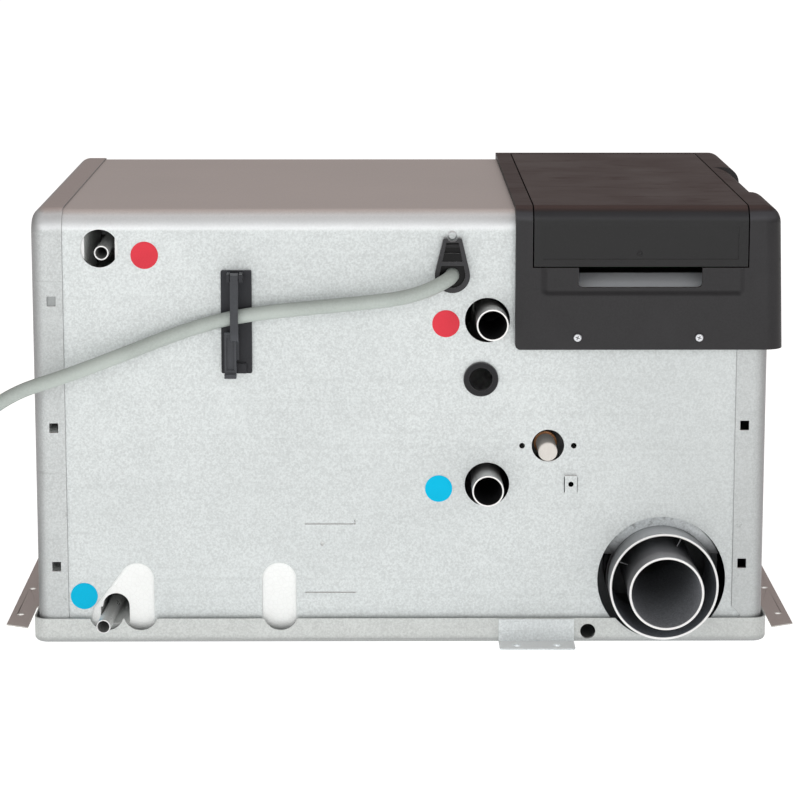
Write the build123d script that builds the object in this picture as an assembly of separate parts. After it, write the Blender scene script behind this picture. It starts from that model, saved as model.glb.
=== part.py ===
from build123d import *
import os
import math

# Compact water and space heater for a caravan: a galvanised sheet casing on a shallow tray, a black
# electronics cover with an access lid, pipe connections, coaxial flue and mains lead on the front.
# Frame: origin at the middle of the tray's underside on the floor, +X to the right as seen from the
# front, the front faces -Y, +Z up. Millimetres.

# ------------------------------------------------------------------ driving dimensions
# casing
TRAY_X = 258.0          # half width of the tray
TRAY_Y = 170.0          # half depth of the tray
TRAY_H = 17.6
TRAY_T = 1.2
SHEET = 1.0
WRAP_Y = 166.4          # half depth over the wrap-round sheet
WRAP_TOP = 305.8
WRAP_BEND = 16.0
WRAP_X = 244.5          # half width of the wrap-round sheet (its edges lie under the end caps)
CAP_X = 255.0           # outer face of the end caps
CAP_Y = 167.5
CAP_TOP = 306.9
CAP_FLANGE_X = 233.0    # inner edge of the end-cap flanges
CAP_R = 10.0
FLOOR_Z = 1.6           # underside of the parts standing in the tray

# openings in the front panel
HOT_X, HOT_Z, HOT_R = -207.4, 279.7, 13.2
SLOT_R = 12.1
SLOT_A = (-185.0, 44.7)
SLOT_B = (-205.4, 17.6)
SLOT_2 = (-85.2, 44.9)
FLOW_X, FLOW_Z = 60.0, 229.6
RET_X, RET_Z = 60.3, 113.2
PORT_R = 15.6
GROMMET_X, GROMMET_Z = 55.7, 188.2
GAS_X, GAS_Z, GAS_R = 102.7, 140.8, 11.35
FLUE_X, FLUE_Z, FLUE_R = 183.3, 44.6, 45.0
TRAY_HOLE_X, TRAY_HOLE_Z, TRAY_HOLE_R = 131.8, 8.0, 5.3

# pipes
PIPE10 = 5.0
PIPE22 = 11.0
END10, END22, END_FLUE = 16.0, 18.0, 16.0       # length of each pipe's sized end
SIZED = 0.25                                    # a water pipe behind its sized end has this much less radius
SWAGE = 0.9                                     # and a flue pipe this much
INTAKE_R = 38.0
EXHAUST_R = 26.0
FLOW_PIPE_X = 62.8
FRONT_PANEL = -166.4

# brackets
BR_T = 1.2
SIDE_BR_X = 283.0
SIDE_BR_Y0, SIDE_BR_Y1 = -134.0, 147.0
SIDE_HOLES_Y = (-100.0, -29.0, 42.0, 113.0)
SIDE_HOLE_X = 276.0
BR_HOLE_R = 2.5

# electronics cover and lid
COV_X0 = 79.0
COV_Z0 = 210.0
COV_Z1 = 309.5
COV_Y0 = -174.0
COV_Y1 = 166.0
COV_T = 2.5
LID_X0, LID_X1 = 91.5, 238.5
LID_Y1 = 157.4
LID_Z0 = 268.0
HINGE_Y, HINGE_Z = 149.4, 303.5
SHELF_Z = 247.0         # top of the front and rear panels under the cover

# vessels
TANK_Z = 150.0
TANK_R = 130.0
JACKET_R = 75.5
CHAMBER_R = 40.0

# fan
FAN = (165.0, 0.0, 120.0)
FAN_R = 44.0

# mains lead
CORD_D = 10.0

os.makedirs("parts", exist_ok=True)
NODES = {}


def put(name, shape):
    """Keeps a node; a list becomes one compound of separate solids."""
    solids = []
    for s in shape if isinstance(shape, (list, tuple)) else [shape]:
        solids.extend(s.solids())
    NODES[name] = solids[0] if len(solids) == 1 else Compound(children=solids)


def box(x0, x1, y0, y1, z0, z1):
    return Pos((x0 + x1) / 2, (y0 + y1) / 2, (z0 + z1) / 2) * Box(abs(x1 - x0), abs(y1 - y0), abs(z1 - z0))


def cyl_y(x, z, r, y0, y1):
    return Pos(x, (y0 + y1) / 2, z) * Rot(90, 0, 0) * Cylinder(r, abs(y1 - y0))


def cyl_x(y, z, r, x0, x1):
    return Pos((x0 + x1) / 2, y, z) * Rot(0, 90, 0) * Cylinder(r, abs(x1 - x0))


def cyl_z(x, y, r, z0, z1):
    return Pos(x, y, (z0 + z1) / 2) * Cylinder(r, abs(z1 - z0))


def bar(p, q, half, y0, y1):
    """A rounded slot seen from the front: from p to q (x, z), half wide, cut from y0 to y1."""
    dx, dz = q[0] - p[0], q[1] - p[1]
    length = math.hypot(dx, dz)
    ang = math.degrees(math.atan2(dz, dx))
    mid = Pos((p[0] + q[0]) / 2, (y0 + y1) / 2, (p[1] + q[1]) / 2) * Rot(0, -ang, 0) * Box(length, abs(y1 - y0), 2 * half)
    return mid + cyl_y(p[0], p[1], half, y0, y1) + cyl_y(q[0], q[1], half, y0, y1)


def run(points, radii, r, r_in=None):
    """A tube along straight runs joined by tangent arcs; r_in makes it hollow."""
    if len(points) == 2:
        path = Line(*points)
    else:
        path = FilletPolyline(*points, radius=radii)
    edges = path if isinstance(path, Wire) else Wire(path.edges())
    start = Plane(origin=edges @ 0, z_dir=edges % 0)
    section = start * Circle(r)
    if r_in:
        section = section - start * Circle(r_in)
    return sweep(section, path=edges)


def sheet_profile(half_y, z0, z1, r, x0, x1):
    """A block with rounded long top edges, running along X."""
    prof = Plane.YZ * Polygon((-half_y, z0), (half_y, z0), (half_y, z1), (-half_y, z1), align=None)
    prof = fillet([v for v in prof.vertices() if abs(v.Z - z1) < 1e-6], r)
    return Pos(x0, 0, 0) * extrude(prof, x1 - x0)


# ------------------------------------------------------------------ bottom tray
def tray_block(inset, z0, r_plan, r_edge):
    b = box(-TRAY_X + inset, TRAY_X - inset, -TRAY_Y + inset, TRAY_Y - inset, z0, TRAY_H + (5 if inset else 0))
    b = fillet(b.edges().filter_by(Axis.Z), r_plan)
    return fillet(b.faces().sort_by(Axis.Z)[0].edges(), r_edge)


tray = tray_block(0, 0, 10.0, 3.5) - tray_block(TRAY_T, TRAY_T, 8.8, 2.3)
for cx in (-206.5, -182.5, -84.2):
    tray -= cyl_y(cx, 21.3, SLOT_R, -172, -160)
tray -= cyl_y(FLUE_X, FLUE_Z, 42.0, -172, -160)
tray -= cyl_y(TRAY_HOLE_X, TRAY_HOLE_Z, TRAY_HOLE_R, -172, -160)
put("bottom_tray", tray)

# ------------------------------------------------------------------ wrap-round casing sheet
wrap = sheet_profile(WRAP_Y, FLOOR_Z, WRAP_TOP, WRAP_BEND, -WRAP_X, WRAP_X)
wrap -= sheet_profile(WRAP_Y - SHEET, FLOOR_Z - 5, WRAP_TOP - SHEET, WRAP_BEND - SHEET, -WRAP_X - 5, WRAP_X + 5)
wrap -= box(84.5, WRAP_X + 5, -200, 200, SHELF_Z, 320)            # open under the electronics cover
Y0, Y1 = -172.0, -160.0
wrap -= cyl_y(HOT_X, HOT_Z, HOT_R, Y0, Y1)
wrap -= bar(SLOT_A, (SLOT_A[0], 21.3), SLOT_R, Y0, Y1)
wrap -= box(SLOT_A[0] - SLOT_R, SLOT_A[0] + SLOT_R, Y0, Y1, 0, 21.3)
wrap -= bar(SLOT_A, SLOT_B, SLOT_R, Y0, Y1)
wrap -= box(SLOT_B[0] - SLOT_R, SLOT_B[0] + SLOT_R, Y0, Y1, 0, 17.6)
wrap -= bar(SLOT_2, (SLOT_2[0], 10.0), SLOT_R, Y0, Y1)
wrap -= cyl_y(FLOW_X, FLOW_Z, PORT_R, Y0, Y1)
wrap -= cyl_y(RET_X, RET_Z, PORT_R, Y0, Y1)
wrap -= cyl_y(GROMMET_X, GROMMET_Z, 10.0, Y0, Y1)
wrap -= cyl_y(GAS_X, GAS_Z, GAS_R, Y0, Y1)
for sx in (-18.05, 18.05):
    wrap -= cyl_y(GAS_X + sx, GAS_Z - 0.1, 2.0, Y0, Y1)
wrap -= cyl_y(FLUE_X, FLUE_Z, FLUE_R, Y0, Y1)
wrap -= cyl_y(-54.8, 70.8, 1.5, Y0, Y1)
wrap -= cyl_y(TRAY_HOLE_X, TRAY_HOLE_Z, TRAY_HOLE_R + 0.4, Y0, Y1)
for sz in (85.0, 35.6):                                        # two lanced slits
    wrap -= box(-67.0, -31.5, Y0, Y1, sz - 0.45, sz + 0.45)
wrap -= box(-32.4, -31.5, Y0, Y1, 85.0, 88.0)
wrap -= cyl_y(35.5, 261.7, 5.6, Y0, Y1)                          # cable entry behind the strain relief
for sz in (153.8, 54.6):
    wrap -= box(-244.2, -237.9, Y0, Y1, sz - 3.4, sz + 3.4)
for sz in (155.2, 56.4):
    wrap -= box(236.4, 242.7, Y0, Y1, sz - 3.4, sz + 3.4)
for sx in (121.9, 205.9):                                      # screw holes of the cover
    wrap -= cyl_y(sx, 218.6, 1.7, Y0, Y1)
# earth tab lanced out of the panel: the cut-out, and the tab set forward of it
tab_x, tab_z0, tab_z1 = 118.9, 107.8, 119.6
wrap -= box(tab_x - 4.7, tab_x + 4.7, Y0, Y1, tab_z0 - 0.5, tab_z1 - 1.2)
tab = box(tab_x - 4.25, tab_x + 4.25, FRONT_PANEL - 2.2, FRONT_PANEL - 1.2, tab_z0, tab_z1)
tab += box(tab_x - 4.25, tab_x + 4.25, FRONT_PANEL - 2.2, FRONT_PANEL + 0.6, tab_z1 - 1.2, tab_z1 - 0.2)
tab -= cyl_y(tab_x, 113.6, 1.9, -175, -160)
wrap += tab
# small round dimple pressed out above the strain relief
wrap += Pos(35.5, FRONT_PANEL, 288.6) * Rot(90, 0, 0) * Cone(3.4, 2.2, 1.2, align=(Align.CENTER, Align.CENTER, Align.MIN))
put("casing_wrap", wrap)


# ------------------------------------------------------------------ end caps
def cap_block(off, top, x0, x1):
    b = sheet_profile(CAP_Y - off, FLOOR_Z - (5 if off else 0), top - off, 17.0 - off, x0, x1)
    outer_face = b.faces().sort_by(Axis.X)[0]
    es = [e for e in outer_face.edges() if e.center().Z > FLOOR_Z + 1]
    return fillet(es, CAP_R - off)


def end_cap(top):
    c = cap_block(0, top, -CAP_X, -CAP_FLANGE_X)
    return c - cap_block(SHEET, top, -CAP_X + SHEET, -CAP_FLANGE_X + 6)


left_cap = end_cap(CAP_TOP)
left_cap -= cyl_y(HOT_X, HOT_Z, HOT_R, -172, -160)
for sz in (243.0, 153.8, 54.6):
    left_cap -= box(-244.1, -238.0, -172, -160, sz - 3.4, sz + 3.4)
put("left_end_cap", left_cap)

right_cap = mirror(end_cap(CAP_TOP), about=Plane.YZ)
right_cap -= box(200, 300, -200, 200, SHELF_Z, 330)
for sz in (155.2, 56.4):
    right_cap -= box(236.5, 242.6, -172, -160, sz - 3.4, sz + 3.4)
# lower inner corner of the front flange cut off at a slant
right_cap -= Pos(233, -166, 19.0) * Rot(0, 45, 0) * Box(9, 8, 9)
put("right_end_cap", right_cap)

# ------------------------------------------------------------------ fixing brackets
# front: leg on the outside of the tray wall, foot forward on the floor with two screw holes
fb = box(69, 122, -171.2 - 0.05, -170.05, 0, 17.0) + box(69, 122, -190, -170.05, 0, BR_T)
fb = fillet([e for e in fb.edges().filter_by(Axis.Z) if e.center().Y < -189], 3.0)
for hx in (81.6, 109.6):
    fb -= cyl_z(hx, -181.5, BR_HOLE_R, -1, 3)
put("front_bracket", fb)


def side_bracket():
    pts = [(258.05, -78), (262, -74.3), (266.5, -80), (266.5, SIDE_BR_Y0), (SIDE_BR_X, SIDE_BR_Y0 + 8),
           (SIDE_BR_X, SIDE_BR_Y1 - 4), (SIDE_BR_X - 4, SIDE_BR_Y1), (258.05, SIDE_BR_Y1)]
    foot = extrude(Polygon(*pts, align=None), BR_T)
    leg = box(258.05, 259.25, -74, SIDE_BR_Y1, 0, 17.0)
    b = foot + leg
    for hy in SIDE_HOLES_Y:
        b -= cyl_z(SIDE_HOLE_X, hy, BR_HOLE_R, -1, 3)
    return b


put("right_bracket", side_bracket())
put("left_bracket", mirror(side_bracket(), about=Plane.YZ))


# ------------------------------------------------------------------ electronics cover
def cover_block(off):
    """Outer form of the cover (off = wall thickness gives the inner form)."""
    x0, y0, y1, z1 = COV_X0 + off, COV_Y0 + off, COV_Y1 - off, COV_Z1 - off
    z0 = COV_Z0 - (5 if off else 0)
    lean = (264.7 - 261.7) / (COV_Z1 - COV_Z0)                  # moulding draft of the right side
    xb = 264.7 - off + (lean * 5 if off else 0)
    xt = 261.7 - off + lean * off
    prof = Plane.XZ * Polygon((x0, z0), (xb, z0), (xt, z1), (x0, z1), align=None)
    b = Pos(0, y0, 0) * extrude(prof, -(y1 - y0 + 20))
    corner = [e for e in b.edges() if e.center().X > 250 and abs(e.center().Y - y0) < 0.1 and abs(e.center().Z - (z0 + z1) / 2) < 20]
    b = fillet(corner, 12.5 - off)
    top = b.faces().sort_by(Axis.Z)[-1]
    rim = [e for e in top.edges() if e.center().X > x0 + 1 and e.center().Y < y1 + 19]
    b = fillet(rim, 12.0 - off)
    return b & box(0, 300, -200, y1, 150, 330)


cov_out = cover_block(0)
# long right-hand top edge scooped to a larger radius along its middle
scoop = box(225, 290, -92, 62, 280, 330) - cyl_y(240.6, 286.9, 22.6, -120, 90) - box(200, 240.6, -120, 90, 270, 320) \
    - box(200, 275, -120, 90, 270, 286.9)
scoop_in = Pos(-2.2, 0, -2.4) * (box(225, 290, -95, 65, 280, 330) - cyl_y(240.6, 286.9, 22.6, -120, 90)
                                 - box(200, 240.6, -120, 90, 270, 320) - box(200, 275, -120, 90, 270, 286.9))
cov_shape = cov_out - scoop
cov_void = cover_block(COV_T) - scoop_in
void_side = cov_void & box(COV_X0 + COV_T, 300, -300, CAP_Y + 4.0, COV_Z0 - 5, 400)
cover = cov_shape - void_side
# the cover sits over the casing: the left wall ends on the top sheet and in front of the panel
cover -= sheet_profile(WRAP_Y + 0.15, 0, WRAP_TOP + 0.15, WRAP_BEND + 0.15, 60, 84.8)
cover -= box(60, 300, 160, 200, 150, SHELF_Z + 1.4)             # rear wall stands on the shelf's edge
cover -= box(60, 256.2, -168.2, 180, 150, 240)
# window with the hand slot, and the lid's opening
win = box(122.4, 207.3, -180, -150, 253.6, 300)
win = fillet([e for e in win.edges().filter_by(Axis.Y) if e.center().Z < 260], 3.0)
lid_open = box(LID_X0 - 0.9, LID_X1 + 0.9, -190, LID_Y1 + 2.2, LID_Z0 - 0.8, 330)
opening = win + lid_open
cover -= opening
# ledges that the lid rests on, left and right, each with a boss for the hinge pin at its rear end
for xa, xb, xc, xd in ((COV_X0 + COV_T + 5.0, LID_X0 + 4.0, COV_X0 + COV_T + 5.0, LID_X0 - 0.9),
                       (LID_X1 - 4.0, LID_X1 + 4.0, LID_X1 + 0.9, LID_X1 + 4.0)):
    cover += box(xa, xb, -150.0, HINGE_Y, 304.2, 306.7)
    cover += box(xc, xd, -150.0, HINGE_Y + 2.5, 304.2, COV_Z1 - 0.8)
    cover += box(xa, xb, HINGE_Y - 3.0, HINGE_Y, 300.6, 306.0) + box(xa, xb, HINGE_Y - 1.0, HINGE_Y + 2.5, 300.6, HINGE_Z)
    cover += cyl_x(HINGE_Y, HINGE_Z, 2.5, xa, xb)
    cover -= cyl_x(HINGE_Y, HINGE_Z, 1.01, xa + 2.0, xb + 1.0) if xa < 150 else cyl_x(HINGE_Y, HINGE_Z, 1.01, xa - 1.0, xb - 2.0)
# rounded lower left corner of the front wall
cover -= box(COV_X0 - 1, COV_X0 + 3.5, -180, -160, COV_Z0 - 1, COV_Z0 + 3.5) - cyl_y(COV_X0 + 3.5, COV_Z0 + 3.5, 3.5, -185, -155)
# two pads that stand on the front panel round the screws
for sx in (121.9, 205.9):
    cover += cyl_y(sx, 218.6, 5.0, COV_Y0 + 1.0, FRONT_PANEL - 0.1)
    cover -= cyl_y(sx, 218.6, 1.75, -180, -160)
put("electronics_cover", cover)

# ------------------------------------------------------------------ access lid with its hinge
lid_region = box(LID_X0, LID_X1, -190, LID_Y1, LID_Z0, 330)
lid = (cov_shape & lid_region) - cover_block(COV_T)
# shallow border pressed in the skirt's front face
lid -= box(LID_X0 + 6.5, LID_X1 - 6.5, COV_Y0 - 1, COV_Y0 + 0.45, 273.0, 295.5)
lid += Pos(164.0, COV_Y0 + 0.46, 277.0) * Rot(90, 0, 0) * Torus(1.5, 0.45)
knuckle_x = [(LID_X0 + 4.6, LID_X0 + 30), (LID_X1 - 30, LID_X1 - 4.6)]
for a, b in knuckle_x:
    lid += cyl_x(HINGE_Y, HINGE_Z, 2.4, a, b) + box(a, b, HINGE_Y - 1.4, HINGE_Y + 1.4, HINGE_Z, 307.5)
    lid -= cyl_x(HINGE_Y, HINGE_Z, 1.06, a - 1, b + 1)
put("access_lid", lid)

# ------------------------------------------------------------------ hinge pins, held in the bosses of the cover
put("lid_hinge_pins", [cyl_x(HINGE_Y, HINGE_Z, 1.0, LID_X0 - 2.0, LID_X0 + 29), cyl_x(HINGE_Y, HINGE_Z, 1.0, LID_X1 - 29, LID_X1 + 1.8)])

# ------------------------------------------------------------------ cover screws
screws = []
for sx in (121.9, 205.9):
    head = cyl_y(sx, 218.6, 2.8, COV_Y0 - 1.7, COV_Y0 - 0.05)
    head = fillet([e for e in head.edges() if e.center().Y < COV_Y0 - 1.6], 0.9)
    for a in (20, 110):                                         # cross recess
        head -= Pos(sx, COV_Y0 - 1.6, 218.6) * Rot(0, a, 0) * Box(2.9, 1.4, 0.62)
    screws.append(head + cyl_y(sx, 218.6, 1.6, COV_Y0 - 0.5, -158.5))
put("cover_screws", screws)

# ------------------------------------------------------------------ electronics shelf and what stands on it
shelf = box(86.0, 253.0, -165.6, 165.6, SHELF_Z + 0.05, SHELF_Z + 1.25)
shelf -= cyl_z(232, 100, 12, 200, 300)                          # wires pass through
put("electronics_shelf", shelf)
# blank plate behind the hand slot: slopes up towards the rear and stands on a folded leg
plate = Plane.YZ * Polygon((-164.4, 248.36), (-163.0, 248.36), (-140.2, 257.0), (-140.2, 248.36), (-139.0, 248.36), (-139.0, 258.6), (-140.4, 258.4),
                           (-164.4, 249.6), align=None)
put("blank_label", Pos(108.0, 0, 0) * extrude(plate, 112.0))
standoffs = [cyl_z(x, y, 3.0, SHELF_Z + 1.3, SHELF_Z + 9.0) for x in (108, 224) for y in (-92, 132)]
put("board_standoffs", standoffs)
board_z = SHELF_Z + 9.1
board = box(101, 231, -99, 139, board_z, board_z + 1.6)
put("circuit_board", board)
bz = board_z + 1.7
put("relays", [box(112 + i * 26, 131 + i * 26, 60, 75, bz, bz + 15.5) for i in range(4)])
term = box(108, 198, 112, 128, bz, bz + 14)
for i in range(9):
    term -= cyl_z(113 + i * 10, 120, 2.6, bz + 9, bz + 20)
put("terminal_block", term)
fh = box(118, 178, -84, -60, bz, bz + 12)
for i in range(3):
    fh -= box(124 + i * 18, 136 + i * 18, -79.0, -65.0, bz + 4, bz + 14)
put("fuse_holder", fh)
put("blade_fuses", [box(124.4 + i * 18, 135.6 + i * 18, -74.6, -69.4, bz + 4.2, bz + 19) for i in range(3)])


# ------------------------------------------------------------------ round stickers
def sticker(x, z):
    return cyl_y(x, z, 9.5, FRONT_PANEL - 0.3, FRONT_PANEL - 0.02)


put("hot_stickers", [sticker(-176.5, 275.0), sticker(31.3, 227.1)])
put("cold_stickers", [sticker(-222.2, 33.1), sticker(26.6, 110.2)])

# ------------------------------------------------------------------ strain relief: teardrop with a raised rim
SR_X, SR_Z = 35.5, 261.7
tear2d = Polygon((SR_X + 11.9, SR_Z + 2.4), (SR_X + 6.3, 287.7), (SR_X - 6.3, 287.7), (SR_X - 11.9, SR_Z + 2.4), align=None)
tear = Plane.XZ.offset(-FRONT_PANEL + 0.05) * (fillet(tear2d.vertices().sort_by(Axis.Y)[2:], 1.5) + Pos(SR_X, SR_Z) * Circle(12.1))
relief = extrude(tear, 7.0)
inner2d = Polygon((SR_X + 8.6, SR_Z + 2.4), (SR_X + 4.2, 284.6), (SR_X - 4.2, 284.6), (SR_X - 8.6, SR_Z + 2.4), align=None)
pocket = Plane.XZ.offset(-FRONT_PANEL + 2.6) * (inner2d + Pos(SR_X, SR_Z) * Circle(8.9))
relief -= extrude(pocket, 8.0)
relief += box(SR_X - 5.2, SR_X + 5.2, FRONT_PANEL - 6.4, FRONT_PANEL - 2.4, 281.2, 282.9)
relief += box(SR_X - 7.6, SR_X + 7.6, FRONT_PANEL - 7.6, FRONT_PANEL - 2.4, 268.6, 271.4)
relief += box(SR_X - 6.6, SR_X + 6.6, FRONT_PANEL - 6.2, FRONT_PANEL - 2.4, 271.4, 277.0)
relief -= Pos(SR_X, FRONT_PANEL, 289.0) * Rot(90, 0, 0) * Cylinder(3.9, 30)
relief -= cyl_y(SR_X, SR_Z, 5.15, -180, -150)
relief += cyl_y(SR_X, SR_Z, 5.5, FRONT_PANEL - 0.1, -158.0) - cyl_y(SR_X, SR_Z, 4.2, -180, -150)
put("strain_relief", relief)

# ------------------------------------------------------------------ mains lead: from the strain relief, through the clip, to the floor
# points of the route from the strain relief to the start of the coil
CORD_POINTS = [
    (35.5, -167.6, 261.7), (35.0, -175.0, 261.2), (29.4, -181.6, 258.4), (18.6, -184.6, 253.2), (0.0, -183.8, 247.4),
    (-30.0, -179.6, 243.4), (-62.0, -176.4, 239.9), (-93.0, -175.1, 236.6), (-122.0, -174.9, 232.0), (-156.0, -176.6, 221.6),
    (-193.0, -181.4, 207.4), (-232.0, -188.0, 193.6), (-264.0, -190.5, 184.0), (-290.0, -191.0, 166.0), (-304.0, -189.0, 133.0),
    (-309.0, -184.0, 94.0), (-313.0, -177.5, 57.0), (-325.0, -171.0, 29.0), (-345.0, -164.5, 11.0), (-372.0, -158.0, 5.3),
]
COIL_C = (-364.0, -97.0)
COIL_MID = 55.0
LEAD_END = (-338.1, -106.4, 5.2)                # where the sheath ends, in the middle of the coil
LEAD_DIR = (-0.5124, -0.8588, 0.0)


def corner_radii(pts):
    out = []
    for a, b, c in zip(pts, pts[1:], pts[2:]):
        va, vc = Vector(*b) - Vector(*a), Vector(*c) - Vector(*b)
        turn = math.radians(va.get_angle(vc))
        out.append(0.45 * min(va.length, vc.length) / math.tan(turn / 2))
    return out


radii = corner_radii(CORD_POINTS)
cord = run(CORD_POINTS, radii, CORD_D / 2)
path_len = sum((Vector(*b) - Vector(*a)).length for a, b in zip(CORD_POINTS, CORD_POINTS[1:]))
for r, (a, b, c) in zip(radii, zip(CORD_POINTS, CORD_POINTS[1:], CORD_POINTS[2:])):
    t = math.radians((Vector(*b) - Vector(*a)).get_angle(Vector(*c) - Vector(*b)))
    path_len -= 2 * r * math.tan(t / 2) - r * t
print("cord radii", [round(r, 1) for r in radii])
print("cord length", round(path_len, 1), "volume", round(cord.volume), "section x length", round(math.pi * 25 * path_len))
put("mains_cable", cord)

coil = cyl_z(COIL_C[0], COIL_C[1], COIL_MID + 11.5, 0.2, 21.0) - cyl_z(COIL_C[0], COIL_C[1], COIL_MID - 11.5, -5, 40)
coil = fillet(coil.edges().filter_by(GeomType.CIRCLE), 4.0)
put("mains_cable_coil", coil)
# the lead's end lies in the middle of the coil, where its three cores come out
CORE_AT, CORE_DIR = Vector(*LEAD_END), Vector(*LEAD_DIR)
cores = []
for off in (-3.7, 0.0, 3.7):
    start = CORE_AT + CORE_DIR * 1.0 + Vector(-CORE_DIR.Y, CORE_DIR.X, 0) * off
    cores.append(Plane(origin=(start.X, start.Y, 1.9), z_dir=CORE_DIR) * (Pos(0, 0, 12) * Cylinder(1.4, 24)))
put("mains_cable_cores", cores)

# ------------------------------------------------------------------ cable clip: base, hinged strap, pin
base_y0 = FRONT_PANEL - 3.0
cb = box(-124.0, -102.8, base_y0, FRONT_PANEL - 0.05, 192.9, 264.8)
cb = fillet(cb.edges().filter_by(Axis.Y), 1.2)
cb += box(-119.4, -108.6, base_y0 - 12.0, base_y0 + 0.5, 258.2, 263.8) - cyl_x(-178.6, 261.0, 1.26, -125, -100)
cb += box(-121.6, -106.6, base_y0 - 3.4, base_y0 + 0.5, 193.4, 200.0)
cb -= box(-117.6, -111.0, base_y0 - 14, base_y0 - 0.05, 250.0, 270.0)
put("cable_clip_base", cb)
sx0, sx1 = -117.0, -111.6
strap_prof = [(-174.0, 262.6), (-176.8, 264.2), (-181.0, 263.0), (-182.2, 256.0), (-183.0, 247.0), (-184.6, 240.5), (-185.4, 232.0),
              (-184.6, 224.0), (-181.2, 218.0), (-176.0, 214.5), (-174.6, 205.0), (-174.2, 203.0), (-170.0, 203.0), (-170.0, 214.0),
              (-172.6, 218.6), (-178.0, 222.6), (-180.4, 232.0), (-179.0, 240.0), (-177.0, 246.0), (-174.0, 254.0)]
strap = Plane.YZ.offset(sx0) * Polygon(*strap_prof, align=None)
strap = extrude(strap, sx1 - sx0)
strap -= cyl_x(-178.6, 261.0, 1.3, -125, -100)
# the latch's finger paddle, wider than the strap and set to its left, with a lip at the bottom
paddle = box(-121.3, -113.2, -180.6, -174.6, 191.6, 223.0)
paddle = fillet([e for e in paddle.edges().filter_by(Axis.X) if e.center().Z > 220], 2.0)
paddle += box(-121.3, -113.2, -183.4, -174.6, 191.6, 194.4)
paddle -= box(-119.9, -114.6, -182.0, -179.2, 197.0, 219.5)
strap += paddle
put("cable_clip_strap", strap)
put("cable_clip_pin", cyl_x(-178.6, 261.0, 1.25, -119.6, -108.0))

# ------------------------------------------------------------------ rubber grommet
gr = cyl_y(GROMMET_X, GROMMET_Z, 12.1, FRONT_PANEL - 2.6, FRONT_PANEL - 0.05) + cyl_y(GROMMET_X, GROMMET_Z, 9.95, -168, -163.5) \
    + cyl_y(GROMMET_X, GROMMET_Z, 12.1, FRONT_PANEL + SHEET + 0.05, -162.6)
gr -= cyl_y(GROMMET_X, GROMMET_Z, 8.1, -180, -150)
gr = fillet([e for e in gr.edges().filter_by(GeomType.CIRCLE) if e.center().Y < FRONT_PANEL - 2.5 and e.length > 60], 0.9)
put("rubber_grommet", gr)


# ------------------------------------------------------------------ vessels: three concentric cylinders along X
def vessel(r_out, r_in, x0, x1, t):
    """An annular closed vessel of sheet t between radii r_in and r_out."""
    shell = cyl_x(0, TANK_Z, r_out, x0, x1)
    shell = fillet(shell.edges().filter_by(GeomType.CIRCLE), min(10.0, (r_out - r_in) * 0.3))
    void = cyl_x(0, TANK_Z, r_out - t, x0 + t, x1 - t)
    void = fillet(void.edges().filter_by(GeomType.CIRCLE), min(10.0, (r_out - r_in) * 0.3) - t * 0.6)
    tube = cyl_x(0, TANK_Z, r_in + t, x0, x1)
    return shell - (void - tube) - cyl_x(0, TANK_Z, r_in, x0 - 5, x1 + 5)


TANK_X0, TANK_X1 = -225.0, 20.0
JX0, JX1 = -232.0, 30.0
put("water_tank", vessel(TANK_R, 76.0, TANK_X0, TANK_X1, 1.2))
put("heating_jacket", vessel(JACKET_R, 40.4, JX0, JX1, 1.2) + (cyl_x(0, TANK_Z, 41.0, JX0, JX0 + 1.2)))
chamber = cyl_x(0, TANK_Z, CHAMBER_R, JX0 + 4, JX1 + 3.3) - cyl_x(0, TANK_Z, CHAMBER_R - 1.5, JX0 + 5.5, JX1 + 10)
chamber += cyl_x(0, TANK_Z, 46.0, JX1 + 0.3, JX1 + 3.3) - cyl_x(0, TANK_Z, CHAMBER_R - 1.5, JX1, JX1 + 10)
put("combustion_chamber", chamber)

# exhaust manifold, burner plate, burner tube, electrode
MX0, MX1 = JX1 + 3.5, 88.0
man = cyl_x(0, TANK_Z, 46.0, MX0, MX1) - cyl_x(0, TANK_Z, 44.0, MX0 + 2, MX1 - 2) - cyl_x(0, TANK_Z, 38.5, MX0 - 1, MX0 + 3)
man -= cyl_x(0, TANK_Z, 21.0, MX1 - 3, MX1 + 1)
man += (cyl_z(61, 12, 27.6, 96.0, 118.0) - cyl_z(61, 12, 26.1, 90.0, 120.0) - cyl_x(0, TANK_Z, 44.5, MX0, MX1)) & box(MX0, MX1, -60, 60, 90, 120)
man -= cyl_x(0, TANK_Z + 32, 4.1, 80, 92)
man -= cyl_z(61, 12, 26.1, 90.0, 125.0)
man = man.solids().sort_by(SortBy.VOLUME)[-1]
elbow = run([(61, 12, 97.0), (61, 12, FLUE_Z), (FLUE_X, 12, FLUE_Z), (FLUE_X, -57.0, FLUE_Z)], [33.0, 40.0], EXHAUST_R, EXHAUST_R - 1.5)
man += elbow + (cyl_z(61, 12, 26.6, 96.5, 99.0) - cyl_z(61, 12, EXHAUST_R - 1.5, 90, 110))
put("exhaust_manifold", man)
plate = cyl_x(0, TANK_Z, 46.0, 88.2, 91.2) - cyl_x(0, TANK_Z, 15.0, 80, 100)
plate -= cyl_x(24, TANK_Z - 26, 3.1, 80, 100)
plate -= cyl_x(0, TANK_Z + 32, 4.1, 80, 100)
put("burner_plate", plate)
burner = cyl_x(0, TANK_Z, 20.0, -40, 88.0) - cyl_x(0, TANK_Z, 18.8, -38.8, 100)
for i in range(8):
    burner -= Pos(-14, 0, TANK_Z) * Rot(45 * i, 0, 0) * Pos(0, 0, 20) * Box(30, 2.5, 8)
put("burner_tube", burner)
electrode = cyl_x(0, TANK_Z + 32, 4.0, 91.3, 112) + cyl_x(0, TANK_Z + 32, 3.9, 60, 91.5)
put("ignition_electrode", electrode)

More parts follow.
